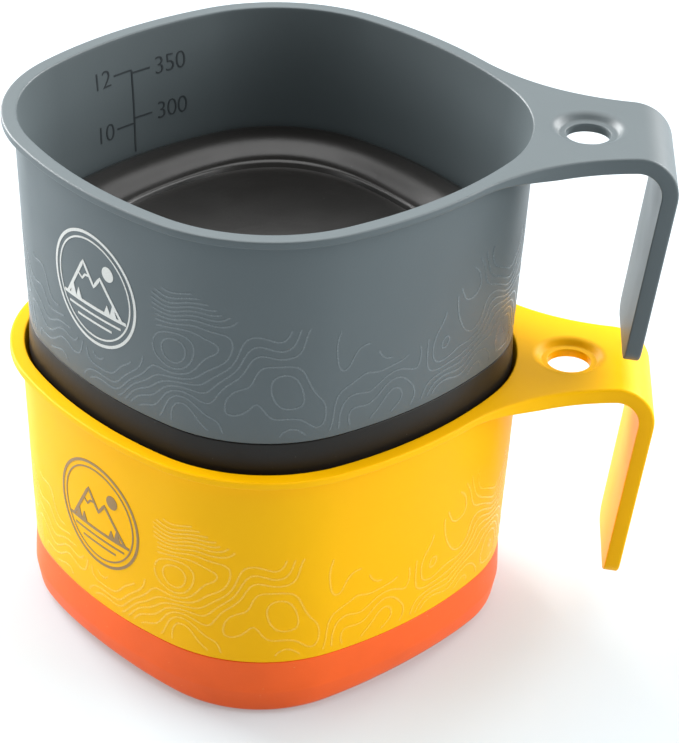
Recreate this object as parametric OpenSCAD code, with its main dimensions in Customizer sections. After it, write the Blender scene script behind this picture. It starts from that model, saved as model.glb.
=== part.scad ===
// A pair of collapsible travel cups, both folded flat and stacked, with their handles on one side.
// Each cup is a hard moulding (wall, rim and handle) with a soft base moulded onto its lower edge.
// The soft base folds in at the foot, stands up inside the wall and ends in a floor. Pushing the
// floor down turns the fold inside out and makes the cup deeper.
// +X points along the handles, +Z is up, and the origin is the centre of the lower cup's foot.
// The plan is a square with bowed sides, standing on a corner: its corners lie on the X and Y axes.

/* [Plan] */
// Centre to the inside of the rim at a corner
corner_half = 45; // [42:0.5:50]
// Radius of the inside of the rim round a corner
corner_r = 28; // [24:0.5:30]

/* [Hard wall] */
// Height of one folded cup, from foot to rim
cup_h = 52; // [50:0.5:56]
// Height of the lower edge of the hard wall above the foot
wall_foot_z = 11.6; // [10:0.2:13]
// Thickness of the hard wall
wall_t = 1.6; // [1.2:0.1:2]
// How far the outside of the wall leans in at its lower edge
wall_lean = 1.24; // [0.8:0.02:1.6]
// How far the lip stands out from the inside of the rim
lip_w = 2.5; // [2:0.1:3]
// Thickness of the lip
lip_t = 1.6; // [1.4:0.1:2.4]

/* [Soft base] */
// Width of the flat ring that the cup stands on
foot_w = 1.5; // [1:0.1:2]
// Radius of the rounding between the band and the foot
foot_r = 4.4; // [3.5:0.1:5]
// Thickness of the soft base
soft_t = 1.8; // [1.4:0.1:2.2]
// Height of the top of the fold above the foot
fold_top_z = 29.5; // [27:0.5:31]
// Height of the floor above the foot
floor_z = 26.2; // [24:0.2:27]
// Radius of the round recess in the floor
recess_r = 24.4; // [20:0.2:26]

/* [Handle] */
// Radius of the hollow curves that lead from the rim into the bridge
flare_r = 40; // [36:1:44]
// Half the width that the bridge narrows to
bridge_half_w = 11.2; // [10:0.2:13]
// Thickness of the bridge and the strap
handle_t = 2.9; // [2.4:0.1:3.2]
// Centre of the cup to the start of the handle's bend
bend_x = 62.4; // [60:0.2:66]
// Outer radius of the handle's bend
bend_r = 7.5; // [6:0.5:9]
// Angle that the strap leans in towards the cup
strap_lean = 6.5; // [2:0.5:9]
// Length of the strap below the bend
strap_l = 33.5; // [30:0.5:34]
// Half the width of the strap at its tip
tip_half_w = 10.2; // [8:0.2:11]
// Radius of the hole through the bridge
hole_r = 3.9; // [3:0.1:4.5]
// Centre of the cup to the centre of the hole
hole_x = 54.3; // [53:0.1:55]

/* [Stack] */
// Height of the upper cup's foot above the lower cup's foot
stack_pitch = 45.8; // [45.6:0.2:48]
// Gap between pieces that slide past each other
slide_gap = 0.25; // [0.2:0.05:0.4]

/* [Hidden] */
$fn = 96;

// The corner and side arcs share a tangent. With the 28-45-53 right triangle, their centres
// and radii are all exact: corner centre 17 units out, side centre 28 units back on each axis.
unit = (corner_half - corner_r) / 17;
corner_c = 17 * unit;
side_c = 28 * unit;
side_r = corner_r + 53 * unit;
reach = 2;
tall = cup_h + 10;

// Profiles are drawn with x as the distance outward from the inside of the rim.
lip_bottom_z = cup_h - lip_t;
wall_top_z = cup_h - 5;
wall_top_x = 0.2;
lip_round = 0.4;
fillet_r = 0.8;
tongue_t = 0.7;
tongue_h = 3;
band_x = -0.95;
band_turn_z = foot_r + 1;
foot_x = band_x - foot_r;
foot_in_x = foot_x - foot_w;
band_in_x = -wall_lean - soft_t;
fold_out_x = foot_in_x - slide_gap;
fold_in_x = fold_out_x - soft_t;
floor_out_x = fold_in_x - slide_gap;
floor_ring_w = 3.5;
floor_t = 2;
floor_ledge_z = floor_z + 0.7;
bead_r = 1.3;
bead_ring_r = recess_r + 2.4;

// Bridge and strap
handle_bottom_z = cup_h - handle_t;
bend_z = cup_h - bend_r;
bend_in_r = bend_r - handle_t;
flare_y = bridge_half_w + flare_r;
flare_x = sqrt((side_r + lip_w + flare_r)^2 - (side_c + flare_y)^2) - side_c;
root_frac = (side_r + lip_w) / (side_r + lip_w + flare_r);
root_x = (flare_x + side_c) * root_frac - side_c;
root_y = (flare_y + side_c) * root_frac - side_c;
strap_half_w = flare_y - sqrt(flare_r^2 - (flare_x - bend_x)^2);
tip_round = 3;
// A small step between the bridge, bend and strap keeps their faces from lying on each other.
step = 0.02;
lap = 0.3;
dish_r = 5.6;
dish_depth = 1.2;

shell_colour_lower = [0.98, 0.72, 0.11];
base_colour_lower = [0.96, 0.37, 0.17];
shell_colour_upper = [0.42, 0.46, 0.48];
base_colour_upper = [0.17, 0.165, 0.16];

// ---- Shared shapes ----

// Sweeps a profile round the plan. The profile's x is outward from the inside of the rim.
module round_plan() {
    for (quarter = [0:3]) rotate(90 * quarter) {
        intersection() {
            translate([corner_c, 0]) rotate_extrude() translate([corner_r, 0]) children();
            linear_extrude(tall) corner_wedge();
        }
        intersection() {
            translate([-side_c, -side_c]) rotate_extrude() translate([side_r, 0]) children();
            linear_extrude(tall) side_wedge();
        }
    }
}

module corner_wedge() {
    polygon([
        [corner_c, 0],
        [corner_c + 45 * reach, -28 * reach],
        [corner_c + 45 * reach, 28 * reach]
    ]);
}

module side_wedge() {
    polygon([
        [corner_c, 0],
        [corner_c + 45 * reach, 28 * reach],
        [28 * reach, corner_c + 45 * reach],
        [0, corner_c]
    ]);
}

// The filled plan, grown outward by x.
module plan(x) {
    for (quarter = [0:3]) rotate(90 * quarter) {
        translate([corner_c, 0]) circle(corner_r + x);
        intersection() {
            translate([-side_c, -side_c]) circle(side_r + x);
            side_wedge();
        }
    }
    circle(corner_c + 1);
}

// ---- Hard wall with its lip ----

module wall_profile() {
    bottom_out = -wall_lean;
    bottom_in = bottom_out - wall_t;
    top_in = wall_top_x - wall_t;
    tongue_x = (bottom_out + bottom_in - tongue_t) / 2;
    difference() {
        union() {
            polygon([
                [bottom_out, wall_foot_z],
                [wall_top_x, wall_top_z],
                [wall_top_x, cup_h - lip_round],
                [-0.2, cup_h],
                [-0.5, cup_h - 0.6],
                [top_in, wall_top_z],
                [bottom_in, wall_foot_z]
            ]);
            translate([-0.2, lip_bottom_z]) lip_profile();
            translate([wall_top_x - 0.4, lip_bottom_z - fillet_r]) square([fillet_r + 0.4, fillet_r + 0.4]);
            translate([tongue_x, wall_foot_z - tongue_h]) square([tongue_t, tongue_h + 0.5]);
        }
        translate([wall_top_x + fillet_r, lip_bottom_z - fillet_r]) circle(fillet_r);
    }
}

// The lip's outer corners are rounded.
module lip_profile() {
    outer = lip_w + 0.2;
    difference() {
        square([outer, lip_t]);
        for (edge = [0, 1]) {
            translate([outer - lip_round, edge * (lip_t - lip_round)]) square(lip_round);
        }
    }
    for (edge = [0, 1]) {
        translate([outer - lip_round, lip_round + edge * (lip_t - 2 * lip_round)]) circle(lip_round);
    }
}

module cup_wall() round_plan() wall_profile();

// ---- Handle: bridge, bend and strap ----

// The bridge's outline, from the plan grown outward by x.
module bridge_plan(x) {
    difference() {
        polygon([
            [root_x, root_y],
            [bend_x, flare_y],
            [bend_x, -flare_y],
            [root_x, -root_y]
        ]);
        for (side = [-1, 1]) translate([flare_x, side * flare_y]) circle(flare_r);
        plan(x);
    }
}

// The bridge meets the lip's edge, and runs on under the lip to its fillet.
module bridge() {
    translate([0, 0, lip_bottom_z]) linear_extrude(lip_t) bridge_plan(lip_w);
    translate([0, 0, handle_bottom_z])
        linear_extrude(handle_t - lip_t) bridge_plan(wall_top_x + fillet_r);
}

module strap_outline() {
    shoulder = tip_round - strap_l;
    top_half_w = strap_half_w - 2 * step;
    polygon([
        [-top_half_w, lap],
        [top_half_w, lap],
        [tip_half_w, shoulder],
        [tip_half_w - tip_round, -strap_l],
        [tip_round - tip_half_w, -strap_l],
        [-tip_half_w, shoulder]
    ]);
    for (side = [-1, 1]) translate([side * (tip_half_w - tip_round), shoulder]) circle(tip_round);
}

module handle_bend() {
    half_w = strap_half_w - step;
    rotate([90, 0, 0])
        rotate_extrude(angle = 92 + strap_lean, start = -strap_lean)
            translate([bend_in_r + step, -half_w]) square([handle_t - 2 * step, 2 * half_w]);
}

module strap() {
    rotate([0, strap_lean, 0])
        translate([bend_in_r + 2 * step, 0, 0])
            rotate([90, 0, 90]) linear_extrude(handle_t - 4 * step) strap_outline();
}

module cup_handle() {
    difference() {
        union() {
            bridge();
            translate([bend_x, 0, bend_z]) {
                handle_bend();
                strap();
            }
        }
        translate([hole_x, 0, handle_bottom_z - 1]) cylinder(h = handle_t + 2, r = hole_r);
        translate([hole_x, 0, cup_h - dish_depth]) cylinder(h = dish_depth, r1 = hole_r, r2 = dish_r);
    }
}

// ---- Soft base: outer band, fold and floor ----

// The band wraps a thin tongue on the wall's lower edge and turns in to the foot ring.
module band_profile() {
    bottom_in = -wall_lean - wall_t;
    tongue_x = (-wall_lean + bottom_in - tongue_t) / 2;
    difference() {
        union() {
            polygon([
                [-wall_lean, wall_foot_z],
                [band_x, band_turn_z],
                [band_x, foot_r],
                [foot_x, 0],
                [foot_in_x, 0],
                [foot_in_x, soft_t],
                [foot_x, soft_t],
                [band_in_x, foot_r + 0.8],
                [band_in_x, wall_foot_z]
            ]);
            intersection() {
                translate([foot_x, foot_r]) circle(foot_r);
                translate([foot_x, 0]) square(foot_r);
            }
        }
        translate([tongue_x, wall_foot_z - tongue_h]) square([tongue_t, tongue_h + 0.5]);
    }
}

module cup_band() round_plan() band_profile();

// The fold stands up inside the wall, with a round top.
module fold_profile() {
    r = soft_t / 2;
    translate([fold_in_x, 0.6]) square([soft_t, fold_top_z - r - 0.6]);
    translate([fold_in_x + r, fold_top_z - r]) circle(r);
}

module cup_fold() round_plan() fold_profile();

module floor_ring_profile() {
    r = 1.6;
    bottom = floor_z - floor_t;
    translate([floor_out_x - floor_ring_w, bottom]) square([floor_ring_w, fold_top_z - 0.6 - bottom - r]);
    translate([floor_out_x - r, fold_top_z - 0.6 - r]) circle(r);
    translate([floor_out_x - floor_ring_w, bottom]) square([floor_ring_w - r, fold_top_z - 1.6 - bottom]);
}

// The floor is a plate with a raised outer ring, and a round bead about its recess.
module cup_floor() {
    round_plan() floor_ring_profile();
    difference() {
        union() {
            translate([0, 0, floor_z - floor_t])
                linear_extrude(floor_t + floor_ledge_z - floor_z) plan(floor_out_x - 1);
            translate([0, 0, floor_ledge_z]) rotate_extrude() translate([bead_ring_r, 0]) circle(bead_r);
        }
        translate([0, 0, floor_z]) cylinder(h = 5, r = recess_r);
    }
}

// ---- Nodes ----

module on_stack() translate([0, 0, stack_pitch]) children();

module lower_wall() color(shell_colour_lower) cup_wall();
module lower_handle() color(shell_colour_lower) cup_handle();
module lower_band() color(base_colour_lower) cup_band();
module lower_fold() color(base_colour_lower) cup_fold();
module lower_floor() color(base_colour_lower) cup_floor();
module upper_wall() color(shell_colour_upper) on_stack() cup_wall();
module upper_handle() color(shell_colour_upper) on_stack() cup_handle();
module upper_band() color(base_colour_upper) on_stack() cup_band();
module upper_fold() color(base_colour_upper) on_stack() cup_fold();
module upper_floor() color(base_colour_upper) on_stack() cup_floor();

lower_wall();
lower_handle();
lower_band();
lower_fold();
lower_floor();
upper_wall();
upper_handle();
upper_band();
upper_fold();
upper_floor();
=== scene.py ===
"""Two collapsible travel cups, folded and stacked. The looks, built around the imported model."""
import math

import bmesh
import bpy
import numpy as np
from mathutils import Matrix, Vector
from mathutils.geometry import delaunay_2d_cdt


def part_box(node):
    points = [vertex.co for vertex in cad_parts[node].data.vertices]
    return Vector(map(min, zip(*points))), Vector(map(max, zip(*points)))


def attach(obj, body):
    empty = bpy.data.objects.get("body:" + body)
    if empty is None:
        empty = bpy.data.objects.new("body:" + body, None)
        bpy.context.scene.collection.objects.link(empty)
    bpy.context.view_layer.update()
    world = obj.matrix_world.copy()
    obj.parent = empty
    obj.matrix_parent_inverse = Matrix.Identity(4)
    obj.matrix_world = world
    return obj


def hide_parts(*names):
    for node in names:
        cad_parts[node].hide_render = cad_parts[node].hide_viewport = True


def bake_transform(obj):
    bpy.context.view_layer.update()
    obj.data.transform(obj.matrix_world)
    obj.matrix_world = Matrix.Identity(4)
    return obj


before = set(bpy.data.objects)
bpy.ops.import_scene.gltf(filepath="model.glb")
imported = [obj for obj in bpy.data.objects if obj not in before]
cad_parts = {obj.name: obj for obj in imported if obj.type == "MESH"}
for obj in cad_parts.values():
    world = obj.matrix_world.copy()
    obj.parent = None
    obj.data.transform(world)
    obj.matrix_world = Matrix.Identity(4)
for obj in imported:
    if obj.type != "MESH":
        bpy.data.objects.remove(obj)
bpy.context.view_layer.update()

MM = 0.001
QUARTER_TURN = math.pi / 2

# ---- Driving sizes in millimetres, in one cup's own frame: foot at z 0, mouth up, handle on +X ----


def top_of(node):
    """Height of a node's highest point, in millimetres."""
    return round(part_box(node)[1].z / MM, 1)


CUP_H = top_of("lower_wall")
STACK_PITCH = top_of("upper_wall") - CUP_H
LIP_W = 2.5
CORNER_HALF = round(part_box("lower_wall")[1].x / MM - LIP_W, 1)
CORNER_R = 28

# Hard wall and lip
WALL_FOOT_Z = top_of("lower_band")
WALL_STRAIGHT_Z = 47
WALL_OUT = 0.2
WALL_SLOPE = 1.44 / 35.4
WALL_T = 1.6
LIP_T = 1.4
LIP_TOP_ROUND = 0.35
LIP_FOOT_ROUND = 0.3
FILLET_R = 0.5
RIM_EDGE_R = 0.35
WALL_FOOT_ROUND = 0.25
WALL_STEP = 4.5
# Wall and band each keep this clear of the plane of their seam.
SEAM_GAP = 0.03
# The inside of the wall flares out to the rim by this much, from this height.
FLARE_OUT = 0.95
FLARE_FROM_Z = 33

# Handle
HANDLE_T = 2.9
HANDLE_TOP_ROUND = 0.5
BEND_X = 62.4
BEND_R = 7.5
STRAP_LEAN = math.radians(6.5)
STRAP_L = 33.5
FLARE_R = 40
BRIDGE_HALF_W = 11.2
TIP_HALF_W = 10.2
TIP_ROUND = 3
HOLE_X = 54.3
HOLE_R = 3.9
DISH_R = 6.2
DISH_DEPTH = 1.25

# Soft base
FOLD_TOP_Z = top_of("lower_fold")
FLOOR_Z = 26.2

# ---- The plan: a square with bowed sides, standing on a corner, from a 28-45-53 triangle ----

UNIT = (CORNER_HALF - CORNER_R) / 17
CORNER_C = 17 * UNIT
SIDE_C = 28 * UNIT
SIDE_R = CORNER_R + 53 * UNIT
TANGENT = math.atan2(28, 45)
HALF_CORNER = CORNER_R * TANGENT
QUARTER = 2 * HALF_CORNER + SIDE_R * (QUARTER_TURN - 2 * TANGENT)
ROUND = 4 * QUARTER

# The flares' centre, and the place on the rim where a flare leaves the lip
FLARE_Y = BRIDGE_HALF_W + FLARE_R
FLARE_X = math.sqrt((SIDE_R + LIP_W + FLARE_R) ** 2 - (SIDE_C + FLARE_Y) ** 2) - SIDE_C
ROOT_ANGLE = math.atan2(FLARE_Y + SIDE_C, FLARE_X + SIDE_C)
ROOT_S = HALF_CORNER + (ROOT_ANGLE - TANGENT) * SIDE_R
ROOT_X = (SIDE_R + LIP_W) * math.cos(ROOT_ANGLE) - SIDE_C


def plan_frame(s):
    """Arc centre, outward direction and radius at s, the way round the rim's inside from the handle."""
    s = np.asarray(s, float)
    quarter = np.floor((s + HALF_CORNER) / QUARTER)
    local = s - quarter * QUARTER
    corner = local <= HALF_CORNER
    turn = quarter * QUARTER_TURN
    along_side = TANGENT + (local - HALF_CORNER) / SIDE_R
    angle = turn + np.where(corner, local / CORNER_R, along_side)
    radius = np.where(corner, CORNER_R, SIDE_R)
    cx = np.where(corner, CORNER_C, -SIDE_C)
    cy = np.where(corner, 0, -SIDE_C)
    centre = np.stack([cx * np.cos(turn) - cy * np.sin(turn), cx * np.sin(turn) + cy * np.cos(turn)], -1)
    return centre, np.stack([np.cos(angle), np.sin(angle)], -1), radius


def on_plan(s, offset, z):
    """Points at s round the plan, offset outward from the inside of the rim, at height z."""
    centre, direction, radius = plan_frame(s)
    flat = centre + direction * (radius + offset)[..., None]
    return np.concatenate([flat, np.broadcast_to(z, radius.shape)[..., None]], -1)


def wall_outside(z):
    return WALL_OUT + (z - WALL_STRAIGHT_Z) * WALL_SLOPE


def wall_inside(z):
    """The inside of the wall, which flares out to the rim."""
    flare = np.clip((z - FLARE_FROM_Z) / (CUP_H - FLARE_FROM_Z), 0, 1) ** 2.2
    return wall_outside(z) - WALL_T + FLARE_OUT * flare


def smooth(t):
    t = np.clip(t, 0, 1)
    return t * t * (3 - 2 * t)


def make_stations():
    """Places round the plan, from one flare's root past the handle to the other and on round the cup."""
    stretches = [(-ROOT_S, -HALF_CORNER, 6), (-HALF_CORNER, HALF_CORNER, 40),
                 (HALF_CORNER, ROOT_S, 6), (ROOT_S, QUARTER - ROOT_S, 8)]
    parts = [np.linspace(a, b, n, endpoint=False) + quarter * QUARTER
             for quarter in range(4) for a, b, n in stretches]
    return np.concatenate(parts), sum(n for _, _, n in stretches[:3])


STATIONS, ROOT = make_stations()
N = len(STATIONS)

# ---- Mesh building ----


class Net:
    """A mesh under construction, in millimetres. Rings are lists of its point numbers."""

    def __init__(self):
        self.points = []
        self.faces = []
        self.creases = set()

    def add(self, points):
        start = len(self.points)
        self.points.extend(np.asarray(points, float).tolist())
        return list(range(start, len(self.points)))

    def face(self, corners):
        kept = [c for i, c in enumerate(corners) if c != corners[i - 1]]
        if len(kept) > 2:
            self.faces.append(kept)

    def strip(self, a, b, closed=True):
        """Quads between two rings with the same number of points."""
        for i in range(len(a) if closed else len(a) - 1):
            j = (i + 1) % len(a)
            self.face([a[i], a[j], b[j], b[i]])

    def strips(self, rings, closed=True):
        for a, b in zip(rings, rings[1:]):
            self.strip(a, b, closed)

    def crease(self, ring):
        """A closed ring whose edges are shaded sharp."""
        self.creases.update(frozenset(pair) for pair in zip(ring, ring[1:] + ring[:1]))

    def fan(self, ring, middle):
        for i in range(len(ring)):
            self.face([ring[i], ring[(i + 1) % len(ring)], middle])


def rounded(corners, steps=5, closed=True):
    """A line through corners (x, z, radius), with an arc at each corner that has a radius."""
    points = []
    count = len(corners)
    for i, (x, z, radius) in enumerate(corners):
        here = np.array([x, z], float)
        if radius == 0 or (not closed and i in (0, count - 1)):
            points.append(here)
            continue
        before = np.array(corners[i - 1][:2], float) - here
        after = np.array(corners[(i + 1) % count][:2], float) - here
        before /= np.linalg.norm(before)
        after /= np.linalg.norm(after)
        half = math.acos(np.clip(before @ after, -1, 1)) / 2
        reach = radius / math.tan(half)
        bisector = (before + after) / np.linalg.norm(before + after)
        centre = here + bisector * radius / math.sin(half)
        first = here + before * reach - centre
        last = here + after * reach - centre
        spread = math.pi - 2 * half
        for k in range(steps + 1):
            f = k / steps
            weight_a = math.sin((1 - f) * spread) / math.sin(spread)
            weight_b = math.sin(f * spread) / math.sin(spread)
            points.append(centre + first * weight_a + last * weight_b)
    return points


def divided(points, longest, closed=True):
    """The same line with its long stretches divided."""
    made = []
    count = len(points)
    for i in range(count if closed else count - 1):
        a, b = points[i], points[(i + 1) % count]
        pieces = max(1, math.ceil(np.linalg.norm(b - a) / longest))
        made.extend(a + (b - a) * k / pieces for k in range(pieces))
    if not closed:
        made.append(points[-1])
    return made


def make_piece(name, net, material, lift=0.0, smooth_faces=True):
    """The Blender object of a net, lifted by some millimetres."""
    mesh = bpy.data.meshes.new(name)
    points = np.array(net.points) + [0, 0, lift]
    mesh.from_pydata((points * MM).tolist(), [], net.faces)
    build = bmesh.new()
    build.from_mesh(mesh)
    bmesh.ops.recalc_face_normals(build, faces=build.faces)
    for face in build.faces:
        face.smooth = smooth_faces
    if net.creases:
        for edge in build.edges:
            edge.smooth = frozenset(v.index for v in edge.verts) not in net.creases
    build.to_mesh(mesh)
    build.free()
    mesh.materials.append(material)
    piece = bpy.data.objects.new(name, mesh)
    bpy.context.scene.collection.objects.link(piece)
    return piece


# ---- Hard shell: wall, lip, bridge, bend and strap in one moulding ----

BEND_ANGLE = QUARTER_TURN + STRAP_LEAN
BEND_MID_R = BEND_R - HANDLE_T / 2
STRAP_U = BEND_X + BEND_ANGLE * BEND_MID_R
TIP_U = STRAP_U + STRAP_L
# The handle thickens and its edges get rounder over this length from the flares' roots.
GROW_L = 14
FLARE_STEPS = 22
BEND_STEPS_FLARE = 6
BEND_STEPS_STRAP = 8
STRAP_STEPS = 14
TIP_STEPS = 7
ACROSS = 14
# An edge rounding has this many steps, and a narrow flat ring of this width beside it.
EDGE_STEPS = 5
EDGE_FLAT = 0.35
FILLET_STEPS = 6


def sheet_point(flat, depth):
    """Points of the handle's sheet: flat is (u, v) on the sheet before its bend, depth is below its top."""
    u, v = flat[:, 0], flat[:, 1]
    bend = np.clip((u - BEND_X) / BEND_MID_R, 0, BEND_ANGLE)
    beyond = np.maximum(u - STRAP_U, 0)
    radius = BEND_R - depth
    x = np.minimum(u, BEND_X) + radius * np.sin(bend) + beyond * math.cos(BEND_ANGLE)
    z = CUP_H - BEND_R + radius * np.cos(bend) - beyond * math.sin(BEND_ANGLE)
    return np.stack([x, v, z], -1)


def grown(flat):
    return smooth((flat[:, 0] - ROOT_X) / GROW_L)


def no_depth(flat):
    return np.zeros(len(flat))


def thickness(flat):
    return LIP_T + (HANDLE_T - LIP_T) * grown(flat)


def arc_side(centre, radius, first, last, steps, hollow):
    """Points and outward normals of an outline's arc, without its last point."""
    a = np.linspace(first, last, steps, endpoint=False)
    direction = np.stack([np.cos(a), np.sin(a)], -1)
    return np.array(centre) + radius * direction, -direction if hollow else direction


def handle_side():
    """The handle's outline on its -Y side, from the flare's root to the end of the tip's corner."""
    root = math.pi - ROOT_ANGLE
    bend = math.acos((BEND_X - FLARE_X) / FLARE_R)
    flare = (FLARE_X, -FLARE_Y)
    waist = QUARTER_TURN
    taper = math.atan((BRIDGE_HALF_W - TIP_HALF_W) / (TIP_U - TIP_ROUND - FLARE_X))
    start = np.array([FLARE_X, -BRIDGE_HALF_W])
    end = np.array([TIP_U - TIP_ROUND, -TIP_HALF_W])
    at_bend_end = (STRAP_U - FLARE_X) / (end[0] - start[0])
    f = np.concatenate([np.linspace(0, at_bend_end, BEND_STEPS_STRAP, endpoint=False),
                        np.linspace(at_bend_end, 1, STRAP_STEPS, endpoint=False)])
    side = start + f[:, None] * (end - start)
    side_normal = np.tile([math.sin(taper), -math.cos(taper)], (len(f), 1))
    corner = (TIP_U - TIP_ROUND, TIP_ROUND - TIP_HALF_W)
    parts = [arc_side(flare, FLARE_R, root, bend, FLARE_STEPS, True),
             arc_side(flare, FLARE_R, bend, waist, BEND_STEPS_FLARE, True),
             (side, side_normal),
             arc_side(corner, TIP_ROUND, -QUARTER_TURN, 0, TIP_STEPS, False)]
    return np.concatenate([p for p, _ in parts]), np.concatenate([n for _, n in parts])


def shell_outline():
    """The outline of lip and handle: points, outward normals, and the number of the last lip point."""
    lip = np.append(STATIONS[ROOT:], STATIONS[0])
    centre, direction, radius = plan_frame(lip)
    lip_points = centre + direction * (radius + LIP_W)[:, None]
    side, side_normal = handle_side()
    half = TIP_HALF_W - TIP_ROUND
    tip = np.stack([np.full(ACROSS + 1, TIP_U), np.linspace(-half, half, ACROSS + 1)], -1)
    tip_normal = np.tile([1.0, 0.0], (ACROSS + 1, 1))
    mirror = np.array([1, -1])
    points = np.concatenate([lip_points, side[1:], tip, side[:0:-1] * mirror])
    normals = np.concatenate([direction, side_normal[1:], tip_normal, side_normal[:0:-1] * mirror])
    return points, normals, len(lip) - 1


def edge_profile(top_round, foot_round, depth):
    """An outline's rounded edge: (inset, depth) at every outline point, from the top to the underside."""
    turns = [QUARTER_TURN * k / EDGE_STEPS for k in range(EDGE_STEPS + 1)]
    rings = [(top_round + EDGE_FLAT, np.zeros_like(depth))]
    rings += [(top_round * (1 - math.sin(a)), top_round * (1 - math.cos(a))) for a in turns]
    rings += [(foot_round * (1 - math.cos(a)), depth - foot_round * (1 - math.sin(a))) for a in turns]
    rings.append((foot_round + EDGE_FLAT + 0.05, depth))
    return rings


def fill_flat(net, loop, loop_flat, hole, hole_flat, depth_of):
    """Triangles over the flat part of the sheet, between its boundary loop and the hole."""
    spacing = 2.2
    clear = 1.1
    low, high = loop_flat.min(0), loop_flat.max(0)
    grid = np.stack(np.meshgrid(np.arange(low[0] + 1, high[0], spacing),
                                np.arange(-10 * spacing, 11 * spacing, spacing)), -1).reshape(-1, 2)
    border = np.concatenate([loop_flat, hole_flat])
    gaps = np.linalg.norm(grid[:, None] - border[None], axis=-1).min(1)
    inside = inside_loop(grid, loop_flat) & ~inside_loop(grid, hole_flat) & (gaps > clear)
    grid = grid[inside]
    grid_ids = net.add(sheet_point(grid, depth_of(grid)))
    ids = list(loop) + list(hole) + grid_ids
    flat = np.concatenate([border, grid])
    first_hole = len(loop)
    edges = [(i, (i + 1) % first_hole) for i in range(first_hole)]
    edges += [(first_hole + i, first_hole + (i + 1) % len(hole)) for i in range(len(hole))]
    points, _, faces, origin, _, _ = delaunay_2d_cdt([Vector(p) for p in flat], edges, [], 0, 1e-5)
    middles = np.array([np.mean([points[i] for i in f], axis=0) for f in faces])
    kept = inside_loop(middles, loop_flat) & ~inside_loop(middles, hole_flat)
    for keep, face in zip(kept, faces):
        if keep:
            net.face([ids[origin[i][0]] for i in face])


def inside_loop(points, loop):
    """Which points lie inside a closed loop."""
    x, y = points[:, 0, None], points[:, 1, None]
    x1, y1 = loop[:, 0], loop[:, 1]
    x2, y2 = np.roll(x1, -1), np.roll(y1, -1)
    spans = (y1 > y) != (y2 > y)
    with np.errstate(divide="ignore", invalid="ignore"):
        cross = x < (x2 - x1) * (y - y1) / (y2 - y1) + x1
    return (spans & cross).sum(1) % 2 == 1


def fill_strap(net, ring, ring_flat, first, last, depth_of):
    """Rows of quads over the bend and the strap. Returns the row at the start of the bend."""
    steps = BEND_STEPS_FLARE + BEND_STEPS_STRAP + STRAP_STEPS + TIP_STEPS
    rows = []
    for k in range(steps):
        a, b = ring_flat[first + k], ring_flat[last - k]
        f = np.arange(1, ACROSS)[:, None] / ACROSS
        between = a + f * (b - a)
        rows.append([ring[first + k]] + net.add(sheet_point(between, depth_of(between))) + [ring[last - k]])
    rows.append(ring[first + steps:last - steps + 1])
    net.strips(rows, closed=False)
    return rows[0]


def hole_rings(net):
    """The dished hole through the bridge, from the ring on the top face to the ring on the underside."""
    dish = [(DISH_R + 1, 0, 0), (DISH_R, 0, 1.8), (DISH_R - 1.1, DISH_DEPTH - 0.1, 0.7),
            (HOLE_R + 0.1, DISH_DEPTH, 0.2), (HOLE_R, DISH_DEPTH + 0.4, 0.2),
            (HOLE_R, HANDLE_T, 0.35), (HOLE_R + 0.8, HANDLE_T, 0)]
    line = rounded(dish, steps=7, closed=False)
    a = np.linspace(0, 2 * math.pi, 64, endpoint=False)
    circle = np.stack([np.cos(a), np.sin(a)], -1)
    flats = [np.array([HOLE_X, 0]) + circle * radius for radius, _ in line]
    rings = [net.add(sheet_point(flat, depth)) for flat, (_, depth) in zip(flats, line)]
    net.strips(rings)
    return rings, flats


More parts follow.
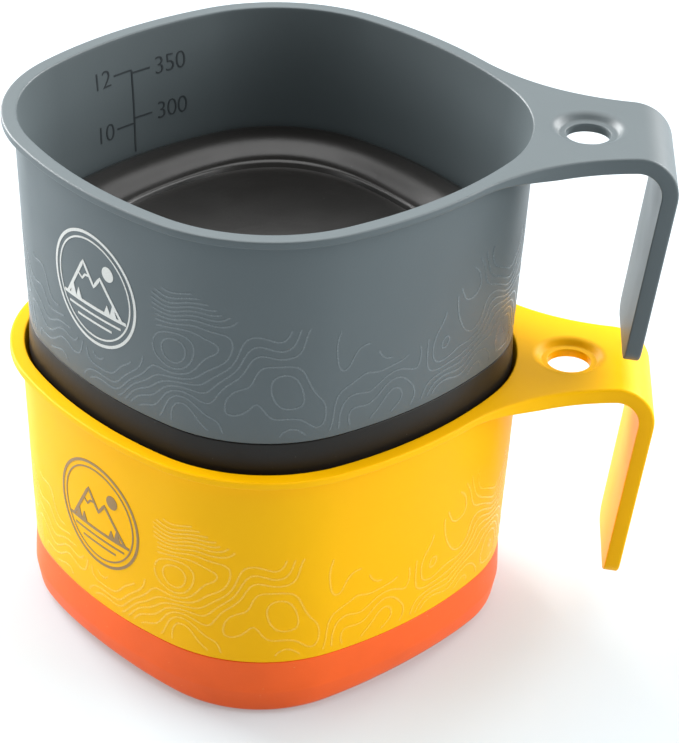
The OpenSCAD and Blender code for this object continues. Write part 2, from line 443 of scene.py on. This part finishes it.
def shell_net():
    net = Net()
    points, normals, root_minus = shell_outline()
    count = len(points)
    depth = thickness(points)
    top_round = LIP_TOP_ROUND + (HANDLE_TOP_ROUND - LIP_TOP_ROUND) * grown(points)
    foot_round = np.full(count, LIP_FOOT_ROUND)
    flats, rings = [], []
    for inset, down in edge_profile(top_round, foot_round, depth):
        flat = points - normals * np.broadcast_to(inset, (count,))[:, None]
        flats.append(flat)
        rings.append(net.add(sheet_point(flat, down)))
    net.strips(rings)
    bend_minus = root_minus + FLARE_STEPS
    bend_plus = count - FLARE_STEPS
    hole, hole_flats = hole_rings(net)

    # Rim edge and top face
    lip_stations = list(range(ROOT, N)) + [0]
    flare_z = np.linspace(CUP_H - 0.8, FLARE_FROM_Z, 9)
    inside = [(wall_inside(z), z, 0) for z in flare_z]
    foot_z = WALL_FOOT_Z + SEAM_GAP
    fillet_z = CUP_H - LIP_T - FILLET_R
    edge = rounded([(RIM_EDGE_R + EDGE_FLAT, CUP_H, 0), (wall_inside(CUP_H), CUP_H, RIM_EDGE_R)] + inside +
                   [(wall_inside(WALL_FOOT_Z), foot_z, WALL_FOOT_ROUND),
                    (wall_outside(WALL_FOOT_Z), foot_z, WALL_FOOT_ROUND),
                    (wall_outside(fillet_z), fillet_z, 0)],
                   steps=6, closed=False)
    edge = divided(edge, WALL_STEP, closed=False)
    inner = [net.add(on_plan(STATIONS, x, z)) for x, z in edge[:-1]]
    net.strips(inner)
    rim = inner[0]
    rim_flat = on_plan(STATIONS, edge[0][0], 0)[:, :2]
    net.strip([rim[i] for i in lip_stations], rings[0][:root_minus + 1], closed=False)

    # Fillet under the lip, joined to the wall's outside
    under = rings[-1][:root_minus + 1]
    span_flat = on_plan(STATIONS[1:ROOT], WALL_OUT + FILLET_R, 0)[:, :2]
    span = net.add(sheet_point(span_flat, thickness(span_flat)))
    first_fillet = [under[-1]] + span + [under[0]] + under[1:-1]
    station_depth = thickness(on_plan(STATIONS, LIP_W, 0)[:, :2])
    fillet = [first_fillet]
    low = CUP_H - station_depth - FILLET_R
    for k in range(1, FILLET_STEPS + 1):
        a = QUARTER_TURN * k / FILLET_STEPS
        z = low + FILLET_R * math.cos(a)
        lean = (low - WALL_STRAIGHT_Z) * WALL_SLOPE * k / FILLET_STEPS
        offset = WALL_OUT + FILLET_R * (1 - math.sin(a)) + lean
        fillet.append(net.add(on_plan(STATIONS, offset, z)))
    net.strips(fillet)
    net.strip(fillet[-1], inner[-1])

    # The bridge, the bend and the strap, above and below
    root_flat = flats[0]
    row = fill_strap(net, rings[0], flats[0], bend_minus, bend_plus, no_depth)
    row_flat = np.linspace(flats[0][bend_minus], flats[0][bend_plus], ACROSS + 1)
    flare_plus = [0] + list(range(count - 1, bend_plus, -1))
    flare_minus = list(range(bend_minus - 1, root_minus - 1, -1))
    loop = [rim[i] for i in range(ROOT + 1)] + [rings[0][i] for i in flare_plus]
    loop += row[::-1] + [rings[0][i] for i in flare_minus]
    loop_flat = np.concatenate([rim_flat[:ROOT + 1], root_flat[flare_plus],
                                row_flat[::-1], root_flat[flare_minus]])
    fill_flat(net, loop, loop_flat, hole[0], hole_flats[0], no_depth)

    below_flat = flats[-1]
    row = fill_strap(net, rings[-1], below_flat, bend_minus, bend_plus, thickness)
    row_flat = np.linspace(below_flat[bend_minus], below_flat[bend_plus], ACROSS + 1)
    flare_plus, flare_minus = flare_plus[1:], flare_minus[:-1]
    loop = first_fillet[:ROOT + 1] + [rings[-1][i] for i in flare_plus]
    loop += row[::-1] + [rings[-1][i] for i in flare_minus]
    ends = below_flat[[root_minus, 0]]
    loop_flat = np.concatenate([ends[:1], span_flat, ends[1:], below_flat[flare_plus],
                                row_flat[::-1], below_flat[flare_minus]])
    fill_flat(net, loop, loop_flat, hole[-1], hole_flats[-1], thickness)
    return net


# ---- Soft base: outer band, fold and floor ----

FOOT_INNER_X = -6.9
CREASE_X, CREASE_Z = -0.98, 5.1
# The roll between the wall and the groove: its outer edge, its crest and the groove
ROLL_OUT_X, ROLL_FOOT_Z = -2.5, 27.1
CREST_SHARE, CREST_Z = 0.27, FOLD_TOP_Z
GROOVE_R, GROOVE_Z = 30.0, 27.3
ROLL_POWER = 1.6
# The groove and the recess are rounded squares: this share wider than a circle at the corners.
SQUARE_SHARE = 0.05
SHEET_T = 1.65
# The shoulder falls from the groove's level into the recess.
SHOULDER_R = 29.0
SHOULDER_ROUND = 1.0
RECESS_R = 28.4
# The plate under the floor starts this far in from the roll's outer edge.
PLATE_IN = 6.65
PLATE_T = 2.2
FOOT_SHEET_T = 1.8


def band_net():
    """The band below the hard wall, rounded in to the foot, more along the sides than at the corners."""
    top = WALL_FOOT_Z - SEAM_GAP
    out = wall_outside(WALL_FOOT_Z)
    inner = out - WALL_T - 0.2
    inside = [(FOOT_INNER_X, 0.0, 0.5), (FOOT_INNER_X, FOOT_SHEET_T, 0.5), (-4.6, FOOT_SHEET_T, 2.0),
              (inner, 4.4, 1.5), (inner, top, 0.15)]
    at_corner = [(out, top, 0.22), (CREASE_X, CREASE_Z, 1.5), (-1.9, 0.0, 1.7)] + inside
    at_side = [(out, top, 0.22), (CREASE_X, CREASE_Z + 0.5, 4.0), (-2.1, 0.0, 4.2)] + inside
    pairs = [np.concatenate(pair) for pair in zip(rounded(at_corner, steps=7), rounded(at_side, steps=7))]
    side_share = 0.5 - 0.5 * np.cos(2 * math.pi * STATIONS / QUARTER)
    net = Net()
    rings = []
    for corner_x, corner_z, side_x, side_z in divided(pairs, 3):
        offset = corner_x + (side_x - corner_x) * side_share
        z = corner_z + (side_z - corner_z) * side_share
        rings.append(net.add(on_plan(STATIONS, offset, z)))
    net.strips(rings + rings[:1])
    return net


def groove_ring(edge, radius):
    """A rounded square about the middle, at the same bearings as the roll's outer edge."""
    away = edge / np.linalg.norm(edge, axis=1, keepdims=True)
    bearing = np.arctan2(away[:, 1], away[:, 0])
    squareness = SQUARE_SHARE * (radius / GROOVE_R) ** 4
    return away * (radius * (1 + squareness * np.cos(4 * bearing)))[:, None]


def roll_lines():
    """At every station: the roll's outer edge, the way from there to the groove, and its length."""
    edge = on_plan(STATIONS, ROLL_OUT_X, 0)[:, :2]
    way = groove_ring(edge, GROOVE_R) - edge
    return edge, way, np.linalg.norm(way, axis=1)


def roll_top(share):
    """Height of the roll, share of the way from its outer edge: level at its crest and at the groove."""
    fall = np.abs((share - CREST_SHARE) / (1 - CREST_SHARE)) ** ROLL_POWER
    return CREST_Z - (CREST_Z - GROOVE_Z) * smooth(fall)


def fold_net():
    """The wall that stands inside the cup, and the outer part of the roll, up to its crest."""
    edge, way, width = roll_lines()
    foot_in = ROLL_OUT_X - FOOT_INNER_X + 0.12
    corners = [(foot_in, 0.7, 0), (foot_in, 15, 12), (0, 25.0, 3.5), (0, ROLL_FOOT_Z, 0)]
    wall = rounded(corners, steps=8, closed=False)
    wall = np.array(divided(wall, 1.6, closed=False))[:-1]
    turn = np.linspace(0, QUARTER_TURN, 13)
    roll_in = CREST_SHARE * width * (1 - np.cos(turn))[:, None]
    inward = np.concatenate([np.tile(wall[:, :1], N), roll_in])
    height = np.concatenate([wall[:, 1], ROLL_FOOT_Z + (CREST_Z - ROLL_FOOT_Z) * np.sin(turn)])
    height = np.tile(height[:, None], N)
    along = np.stack([np.gradient(inward, axis=0), np.gradient(height, axis=0)], -1)
    along[-1] = (1, 0)
    along /= np.linalg.norm(along, axis=-1, keepdims=True)
    under = inward + along[..., 1] * SHEET_T, height - along[..., 0] * SHEET_T
    net = Net()
    rings = []
    for d, z in list(zip(inward, height)) + list(zip(*under))[::-1]:
        rings.append(net.add(np.column_stack([edge + way * (d / width)[:, None], z])))
    net.strips(rings + rings[:1])
    net.crease(rings[len(inward) - 1])
    return net


def floor_net():
    """The floor: the inner part of the roll, and a shoulder round a recess."""
    edge, way, width = roll_lines()
    plate_z = FLOOR_Z - PLATE_T
    side = PLATE_IN / width
    net = Net()

    def roll_ring(share, z):
        share = np.broadcast_to(share, N)
        return net.add(np.column_stack([edge + way * share[:, None], np.broadcast_to(z, N)]))

    def round_ring(radius, z):
        return net.add(np.column_stack([groove_ring(edge, radius), np.full(N, z)]))

    below = roll_ring(side + 0.4 / width, plate_z)
    rings = [below, roll_ring(side, plate_z + 0.4), roll_ring(side, plate_z + 1.4)]
    for share in np.linspace(side, np.full(N, CREST_SHARE), 6):
        rings.append(roll_ring(share, roll_top(share) - SHEET_T))
    seam = roll_ring(CREST_SHARE, CREST_Z)
    net.crease(seam)
    rings.append(seam)
    rings += [roll_ring(share, roll_top(share)) for share in np.linspace(CREST_SHARE, 1, 16)[1:]]
    corners = [(GROOVE_R, GROOVE_Z, 0), (SHOULDER_R, GROOVE_Z - 0.05, SHOULDER_ROUND),
               (RECESS_R, FLOOR_Z, 0)]
    shoulder = rounded(corners, steps=8, closed=False)
    rings += [round_ring(radius, z) for radius, z in shoulder[1:]]
    net.crease(rings[-1])
    rings += [round_ring(radius, FLOOR_Z - 0.03) for radius in (25, 20)]
    middle_z = FLOOR_Z - 0.1
    rings += [round_ring(radius, middle_z) for radius in (13, 8, 4)]
    net.strips(rings)
    net.fan(rings[-1], net.add([(0, 0, middle_z)])[0])
    plate = [below] + [round_ring(radius, plate_z) for radius in (29, 24, 18, 12, 6)]
    net.strips(plate)
    net.fan(plate[-1], net.add([(0, 0, plate_z)])[0])
    return net


# ---- Surface marks: thin raised lines on the wall ----

# How far marks and contour lines stand out from the wall
PRINT_T = 0.07
CONTOUR_T = 0.025


def ribbon(net, line, widths, offset_of, outward, closed=False, relief=PRINT_T):
    """A thin raised line on the wall through points (s, z)."""
    line = np.asarray(line, float)
    if closed:
        ahead = np.roll(line, -1, 0) - np.roll(line, 1, 0)
    else:
        ahead = np.gradient(line, axis=0)
    ahead /= np.maximum(np.linalg.norm(ahead, axis=1, keepdims=True), 1e-9)
    across = np.stack([-ahead[:, 1], ahead[:, 0]], -1) * np.broadcast_to(widths, len(line))[:, None] / 2
    rings = []
    for side, height in ((1, -relief), (1, relief), (-1, relief), (-1, -relief)):
        at = line + side * across
        rings.append(net.add(on_plan(at[:, 0], offset_of(at[:, 1]) + outward * height, at[:, 1])))
    net.strips(rings + rings[:1], closed)
    if not closed:
        for end in (0, -1):
            net.face([ring[end] for ring in rings])


def path(*corners, step=0.8):
    """A line through corners (s, z), in short steps."""
    return np.array(divided([np.array(corner, float) for corner in corners], step, closed=False))


def circle_path(s, z, radius):
    a = np.linspace(0, 2 * math.pi, 72, endpoint=False)
    return np.stack([s + radius * np.cos(a), z + radius * np.sin(a)], -1)


SCALE_S = 1.5 * QUARTER
SCALE_TOP_Z = 44.6
SCALE_LINE_W = 0.36
MARK_L = 4.2
# The two scales' steps, from the upper mark down to the lower one
LARGE_STEP = 8.9
SMALL_STEP = 10.5
# The small unit's upper mark is this much higher.
SMALL_RISE = 0.6
DIGIT_H = 3.3


def scale_net():
    """The volume scale inside the cup: an upright line with marks on both sides."""
    net = Net()
    small_top = SCALE_TOP_Z + SMALL_RISE
    marks = [((SCALE_S, SCALE_TOP_Z + 0.5), (SCALE_S, FOLD_TOP_Z - 0.6))]
    marks += [((SCALE_S, z), (SCALE_S - MARK_L, z)) for z in (SCALE_TOP_Z, SCALE_TOP_Z - LARGE_STEP)]
    marks += [((SCALE_S, z), (SCALE_S + MARK_L, z)) for z in (small_top, small_top - SMALL_STEP)]
    for mark in marks:
        ribbon(net, path(*mark), SCALE_LINE_W, wall_inside, -1)
    return net


def add_digits(net, text, s, z):
    """Raised digits on the inside of the wall, read from inside. s is the near end of the first one."""
    curve = bpy.data.curves.new("digits", "FONT")
    curve.body = text
    curve.size = 1.0
    curve.offset = -0.014
    curve.space_character = 0.96
    curve.extrude = 1.0
    holder = bpy.data.objects.new("digits", curve)
    mesh = bpy.data.meshes.new_from_object(holder)
    points = np.array([v.co for v in mesh.vertices])
    height = points[:, 1].max() - points[:, 1].min()
    flat = points[:, :2] * DIGIT_H / height
    flat[:, 1] -= (flat[:, 1].max() + flat[:, 1].min()) / 2
    offset = wall_inside(z + flat[:, 1]) - points[:, 2] * PRINT_T
    ids = net.add(on_plan(s - flat[:, 0], offset, z + flat[:, 1]))
    for polygon in mesh.polygons:
        net.face([ids[i] for i in polygon.vertices])
    bpy.data.objects.remove(holder)
    bpy.data.meshes.remove(mesh)
    bpy.data.curves.remove(curve)


def numerals_net():
    net = Net()
    small_top = SCALE_TOP_Z + SMALL_RISE
    add_digits(net, "350", SCALE_S - MARK_L - 1, SCALE_TOP_Z)
    add_digits(net, "300", SCALE_S - MARK_L - 1, SCALE_TOP_Z - LARGE_STEP)
    add_digits(net, "12", SCALE_S + MARK_L + 5.4, small_top)
    add_digits(net, "10", SCALE_S + MARK_L + 5.4, small_top - SMALL_STEP)
    return net


BADGE_S = 2.5 * QUARTER + 1.0
BADGE_Z = 31.8
BADGE_R = 10.6


def badge_net():
    """A plain outdoor badge: two rings with peaks, a sun and fir trees."""
    net = Net()

    def draw(line, width, closed=False):
        ribbon(net, line, width, wall_outside, 1, closed)

    def at(x, z):
        return BADGE_S + x, BADGE_Z + z

    draw(circle_path(*at(0, 0), BADGE_R), 0.55, True)
    draw(circle_path(*at(0, 0), BADGE_R - 1.2), 0.32, True)
    ground = -3.6
    draw(path(at(-7.3, ground), at(-2.2, 4.6), at(0.4, 0.6), at(2.2, 2.9), at(7.3, ground)), 0.6)
    draw(path(at(-3.9, 1.9), at(-2.7, 1.0), at(-1.9, 2.0), at(-0.7, 2.2)), 0.4)
    draw(path(at(-8.3, ground), at(8.3, ground)), 0.6)
    draw(path(at(-6.9, ground - 1.5), at(6.9, ground - 1.5)), 0.4)
    draw(path(at(-4.6, ground - 3.0), at(4.6, ground - 3.0)), 0.4)
    draw(circle_path(*at(4.3, 4.6), 0.7), 1.4, True)
    for x, tall in ((-5.6, 2.9), (-4.0, 2.2), (5.2, 2.6), (3.7, 1.9)):
        line = path(at(x, ground), at(x, ground + tall), step=0.35)
        f = np.linspace(0, 1, len(line))
        draw(line, 1.7 * (1 - f) + 0.12)
    return net


# ---- Contour lines ----

CONTOUR_STEP = 0.75
CONTOUR_W = 0.36


def hill_height(s, z):
    """A made-up rolling landscape round the wall."""
    t = 2 * math.pi * s / ROUND
    y = z / 10
    ridges = np.sin(3 * t + 1.1 * np.sin(1.6 * y)) + 0.8 * np.sin(5 * t - 1.9 * y + 0.6)
    detail = 0.35 * np.sin(11 * t + 2.3 * y) + 0.3 * np.cos(8 * t - 3.1 * y + 2.0)
    small = 0.16 * np.sin(23 * t + 4.1 * y) + 0.12 * np.cos(31 * t - 2.7 * y)
    return ridges + detail + small + 0.9 * np.cos(1.2 * y + 1.5 * np.sin(2 * t))


def contour_mask(s, z):
    """True where contour lines are printed: below a wavy line, clear of the badge."""
    t = 2 * math.pi * s / ROUND
    upper = 33 + 6 * np.sin(4 * t + 2.2) + 3 * np.sin(9 * t)
    away = np.hypot((s - BADGE_S) / 1.2, z - BADGE_Z)
    return (z < upper) & (z > WALL_FOOT_Z + 0.9) & (away > BADGE_R + 1.5)


def contour_lines(level, s_axis, z_axis, height, mask):
    """Chained lines of one level over a grid of heights."""
    above = height > level
    cell_ok = mask[:-1, :-1] & mask[1:, :-1] & mask[:-1, 1:] & mask[1:, 1:]
    count = (above[:-1, :-1].astype(int) + above[1:, :-1] + above[:-1, 1:] + above[1:, 1:])
    links = {}
    spots = {}

    def spot(i, j, di, dj):
        key = (i, j, di, dj)
        if key not in spots:
            a, b = height[i, j], height[i + di, j + dj]
            f = (level - a) / (b - a)
            spots[key] = (s_axis[i] + f * di * CONTOUR_STEP, z_axis[j] + f * dj * CONTOUR_STEP)
        return key

    for i, j in np.argwhere(cell_ok & (count > 0) & (count < 4)):
        sides = [(i, j, 1, 0), (i + 1, j, 0, 1), (i, j + 1, 1, 0), (i, j, 0, 1)]
        hits = [spot(*k) for k in sides if above[k[0], k[1]] != above[k[0] + k[2], k[1] + k[3]]]
        pairs = [hits[:2], hits[2:]] if len(hits) == 4 else [hits]
        for a, b in pairs:
            links.setdefault(a, []).append(b)
            links.setdefault(b, []).append(a)
    lines = []
    starts = sorted(links, key=lambda k: (len(links[k]) != 1, k))
    used = set()
    for start in starts:
        if start in used:
            continue
        chain = [start]
        used.add(start)
        while True:
            onward = [k for k in links[chain[-1]] if k not in used]
            if not onward:
                break
            chain.append(onward[0])
            used.add(onward[0])
        ring = len(chain) > 3 and chain[0] in links[chain[-1]]
        lines.append((np.array([spots[k] for k in chain]), ring))
    return lines


def contours_net():
    net = Net()
    s_axis = np.arange(0, ROUND, CONTOUR_STEP)
    z_axis = np.arange(WALL_FOOT_Z, CUP_H - 6, CONTOUR_STEP)
    s, z = np.meshgrid(s_axis, z_axis, indexing="ij")
    height = hill_height(s, z)
    mask = contour_mask(s, z)
    for level in np.arange(-2.6, 3.0, 0.42) + 0.013:
        for line, ring in contour_lines(level, s_axis, z_axis, height, mask):
            if len(line) > 7:
                ribbon(net, line, CONTOUR_W, wall_outside, 1, ring, CONTOUR_T)
    return net


# ---- Materials ----


class Shader:
    """A material's node tree, with short calls to add nodes and links."""

    def __init__(self, name):
        self.material = bpy.data.materials.new(name)
        self.material.use_nodes = True
        self.tree = self.material.node_tree
        self.surface = self.tree.nodes["Principled BSDF"]
        self.place = self.node("ShaderNodeTexCoord").outputs["Object"]

    def node(self, kind, **settings):
        made = self.tree.nodes.new(kind)
        for name, value in settings.items():
            setattr(made, name, value)
        return made

    def link(self, source, target):
        self.tree.links.new(source, target)

    def set(self, **values):
        for name, value in values.items():
            self.surface.inputs[name.replace("_", " ")].default_value = value

    def noise(self, scale, detail=2.0, roughness=0.5):
        made = self.node("ShaderNodeTexNoise")
        made.inputs["Scale"].default_value = scale
        made.inputs["Detail"].default_value = detail
        made.inputs["Roughness"].default_value = roughness
        self.link(self.place, made.inputs["Vector"])
        return made.outputs["Fac"]

    def spread(self, source, low, high, to_low, to_high):
        """source taken from one range to another."""
        made = self.node("ShaderNodeMapRange")
        for name, value in (("From Min", low), ("From Max", high), ("To Min", to_low), ("To Max", to_high)):
            made.inputs[name].default_value = value
        self.link(source, made.inputs["Value"])
        return made.outputs["Result"]

    def mix(self, share, a, b):
        made = self.node("ShaderNodeMix", data_type="RGBA")
        self.link(share, made.inputs["Factor"])
        for value, socket in ((a, made.inputs["A"]), (b, made.inputs["B"])):
            if isinstance(value, tuple):
                socket.default_value = (*value, 1)
            else:
                self.link(value, socket)
        return made.outputs["Result"]

    def bump(self, height, distance, strength=1.0):
        made = self.node("ShaderNodeBump")
        made.inputs["Distance"].default_value = distance
        made.inputs["Strength"].default_value = strength
        self.link(height, made.inputs["Height"])
        self.link(made.outputs["Normal"], self.surface.inputs["Normal"])


def tinted(colour, factor):
    return tuple(min(1.0, c * factor) for c in colour)


def satin_plastic(name, colour, gleam, roughness=0.42):
    """Moulded polypropylene: satin, with a fine grain and slight uneven gloss."""
    shader = Shader(name)
    clouds = shader.noise(35, 3)
    shade = shader.mix(shader.spread(clouds, 0.3, 0.7, 0, 1), tinted(colour, 0.97), tinted(colour, 1.03))
    shader.link(shade, shader.surface.inputs["Base Color"])
    gloss = shader.spread(shader.noise(90, 4), 0.3, 0.7, roughness - 0.035, roughness + 0.035)
    shader.link(gloss, shader.surface.inputs["Roughness"])
    shader.set(IOR=1.49, Specular_IOR_Level=gleam)
    shader.bump(shader.noise(2600, 2), 0.00002, 0.5)
    return shader.material


def silicone(name, colour, dust, roughness, gleam):
    """Soft rubber: smooth, slightly uneven, with specks of dust."""
    shader = Shader(name)
    clouds = shader.noise(60, 4)
    shade = shader.mix(shader.spread(clouds, 0.35, 0.65, 0, 1), tinted(colour, 0.94), tinted(colour, 1.07))
    specks = shader.spread(shader.noise(2200, 1), 0.78, 0.81, 0, 1)
    shade = shader.mix(specks, shade, dust)
    shader.link(shade, shader.surface.inputs["Base Color"])
    gloss = shader.spread(shader.noise(140, 2), 0.3, 0.7, roughness - 0.025, roughness + 0.025)
    shader.link(gloss, shader.surface.inputs["Roughness"])
    shader.set(IOR=1.43, Specular_IOR_Level=gleam)
    shader.bump(shader.noise(900, 4, 0.6), 0.00004, 0.6)
    return shader.material


def ink(name, colour, roughness=0.35):
    """A thin coloured layer with tiny breaks in its gloss: print on the badge and the contour lines, a
    darker tint on the scale's raised marks and digits.
    """
    shader = Shader(name)
    grain = shader.noise(3000, 2)
    shade = shader.mix(shader.spread(grain, 0.3, 0.7, 0, 1), tinted(colour, 0.93), tinted(colour, 1.04))
    shader.link(shade, shader.surface.inputs["Base Color"])
    gloss = shader.spread(grain, 0.3, 0.7, roughness - 0.04, roughness + 0.04)
    shader.link(gloss, shader.surface.inputs["Roughness"])
    return shader.material


# ---- The cups ----

FLAT_PRINTS = ("scale_lines", "scale_numerals", "badge", "contours")

# A look is a roughness and a specular level.
CUPS = {
    "lower": dict(lift=0.0, shell=(1.0, 0.50, 0.0), gleam=0.1, soft=(0.95, 0.125, 0.015),
                  dust=(0.97, 0.28, 0.10), soft_look=(0.42, 0.3), band_look=(0.45, 0.3),
                  badge=(0.30, 0.17, 0.05), contour=(1.0, 0.54, 0.012), marks=(0.42, 0.18, 0.003)),
    "upper": dict(lift=STACK_PITCH, shell=(0.093, 0.114, 0.121), gleam=0.37, soft=(0.0115, 0.0105, 0.0095),
                  dust=(0.07, 0.07, 0.066), soft_look=(0.3, 0.6), band_look=(0.42, 0.3),
                  badge=(0.62, 0.62, 0.59), contour=(0.120, 0.144, 0.152),
                  marks=(0.034, 0.042, 0.047)),
}


def build_cup(side, lift, shell, gleam, soft, dust, soft_look, band_look, badge, contour, marks, nets):
    plastic = satin_plastic(side + "_shell", shell, gleam)
    rubber = silicone(side + "_soft", soft, dust, *soft_look)
    band_rubber = silicone(side + "_soft_band", soft, dust, *band_look)
    # The scale's raised marks and digits are tinted darker than the wall.
    darker_mark_tint = ink(side + "_darker_mark_tint", marks)
    badge_ink = ink(side + "_badge_ink", badge)
    contour_ink = ink(side + "_contour_ink", contour, 0.25)
    plan = [("shell", plastic, "shell", ("wall", "handle")), ("band", band_rubber, "soft", ("band",)),
            ("fold", rubber, "soft", ("fold",)), ("floor", rubber, "soft", ("floor",)),
            ("scale_lines", darker_mark_tint, "shell", ()), ("scale_numerals", darker_mark_tint, "shell", ()),
            ("badge", badge_ink, "shell", ()), ("contours", contour_ink, "shell", ())]
    riders = {"floor": side + "_base"}
    for kind, material, slot, stands_for in plan:
        name = f"{side}_{kind}_piece"
        piece = make_piece(name, nets[kind], material, lift, kind not in FLAT_PRINTS)
        if kind == "fold":
            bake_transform(piece)
        else:
            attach(piece, riders.get(kind, side + "_shell"))
        if stands_for:
            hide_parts(*(f"{side}_{node}" for node in stands_for))


# ---- Stage ----


def build_floor():
    mesh = bpy.data.meshes.new("stage_floor")
    build = bmesh.new()
    bmesh.ops.create_grid(build, x_segments=2, y_segments=2, size=4)
    build.to_mesh(mesh)
    build.free()
    stage_floor = bpy.data.objects.new("stage_floor", mesh)
    bpy.context.scene.collection.objects.link(stage_floor)
    shader = Shader("stage_floor")
    shader.set(Base_Color=(0.36, 0.41, 0.44, 1), Roughness=0.7, Specular_IOR_Level=0.2,
               Emission_Color=(1, 1, 1, 1), Emission_Strength=0.27)
    mesh.materials.append(shader.material)


def add_light(name, place, target, size, power):
    light = bpy.data.lights.new(name, "AREA")
    light.shape = "RECTANGLE"
    light.size, light.size_y = size
    light.energy = power
    holder = bpy.data.objects.new(name, light)
    holder.location = place
    holder.rotation_euler = (Vector(target) - Vector(place)).to_track_quat("-Z", "Y").to_euler()
    bpy.context.scene.collection.objects.link(holder)


def build_world():
    world = bpy.data.worlds.new("studio")
    world.use_nodes = True
    tree = world.node_tree
    background = tree.nodes["Background"]
    background.inputs["Color"].default_value = (1, 1, 1, 1)
    # The surroundings look white, and light the cups only a little.
    seen = tree.nodes.new("ShaderNodeLightPath").outputs["Is Camera Ray"]
    strength = tree.nodes.new("ShaderNodeMapRange")
    strength.inputs["To Min"].default_value = 0.24
    strength.inputs["To Max"].default_value = 1.0
    tree.links.new(seen, strength.inputs["Value"])
    tree.links.new(strength.outputs["Result"], background.inputs["Strength"])
    bpy.context.scene.world = world


def build_lights():
    middle = (0.01, 0, 0.05)
    add_light("top_softbox", (0, 0.3, 2.4), middle, (2.6, 2.2), 55)
    add_light("back_softbox", (0, 1.9, 1.7), middle, (2.6, 1.2), 18)
    add_light("left_softbox", (-2.3, 0, 1.1), middle, (1.8, 1.6), 30)
    add_light("left_back_softbox", (-1.8, 1.6, 1.1), middle, (1.4, 1.4), 130)
    add_light("right_softbox", (2.3, 0, 1.1), middle, (1.8, 1.6), 52)
    add_light("right_back_softbox", (1.8, 1.6, 1.1), middle, (1.4, 1.4), 70)


def build_camera():
    """A camera at the height and turn from which the pair of cups is seen."""
    azimuth, elevation, roll = (math.radians(a) for a in (-2.01, 31.33, 1.95))
    place = Vector((27.38, -419.27, 301.23)) * MM
    forward = Vector((math.sin(azimuth) * math.cos(elevation), math.cos(azimuth) * math.cos(elevation),
                      -math.sin(elevation)))
    level = Vector((math.cos(azimuth), -math.sin(azimuth), 0))
    upright = level.cross(forward)
    right = math.cos(roll) * level + math.sin(roll) * upright
    up = math.cos(roll) * upright - math.sin(roll) * level
    data = bpy.data.cameras.new("camera")
    data.sensor_width = 36
    data.lens = 129.94
    camera = bpy.data.objects.new("camera", data)
    turn = Matrix((right, up, -forward)).transposed()
    camera.matrix_world = Matrix.Translation(place) @ turn.to_4x4()
    bpy.context.scene.collection.objects.link(camera)
    bpy.context.scene.camera = camera


def main():
    nets = {"shell": shell_net(), "band": band_net(), "fold": fold_net(), "floor": floor_net(),
            "scale_lines": scale_net(), "scale_numerals": numerals_net(),
            "badge": badge_net(), "contours": contours_net()}
    for side, looks in CUPS.items():
        build_cup(side, nets=nets, **looks)
    build_floor()
    build_world()
    build_lights()
    build_camera()
    bpy.context.scene.view_settings.view_transform = "Standard"


main()
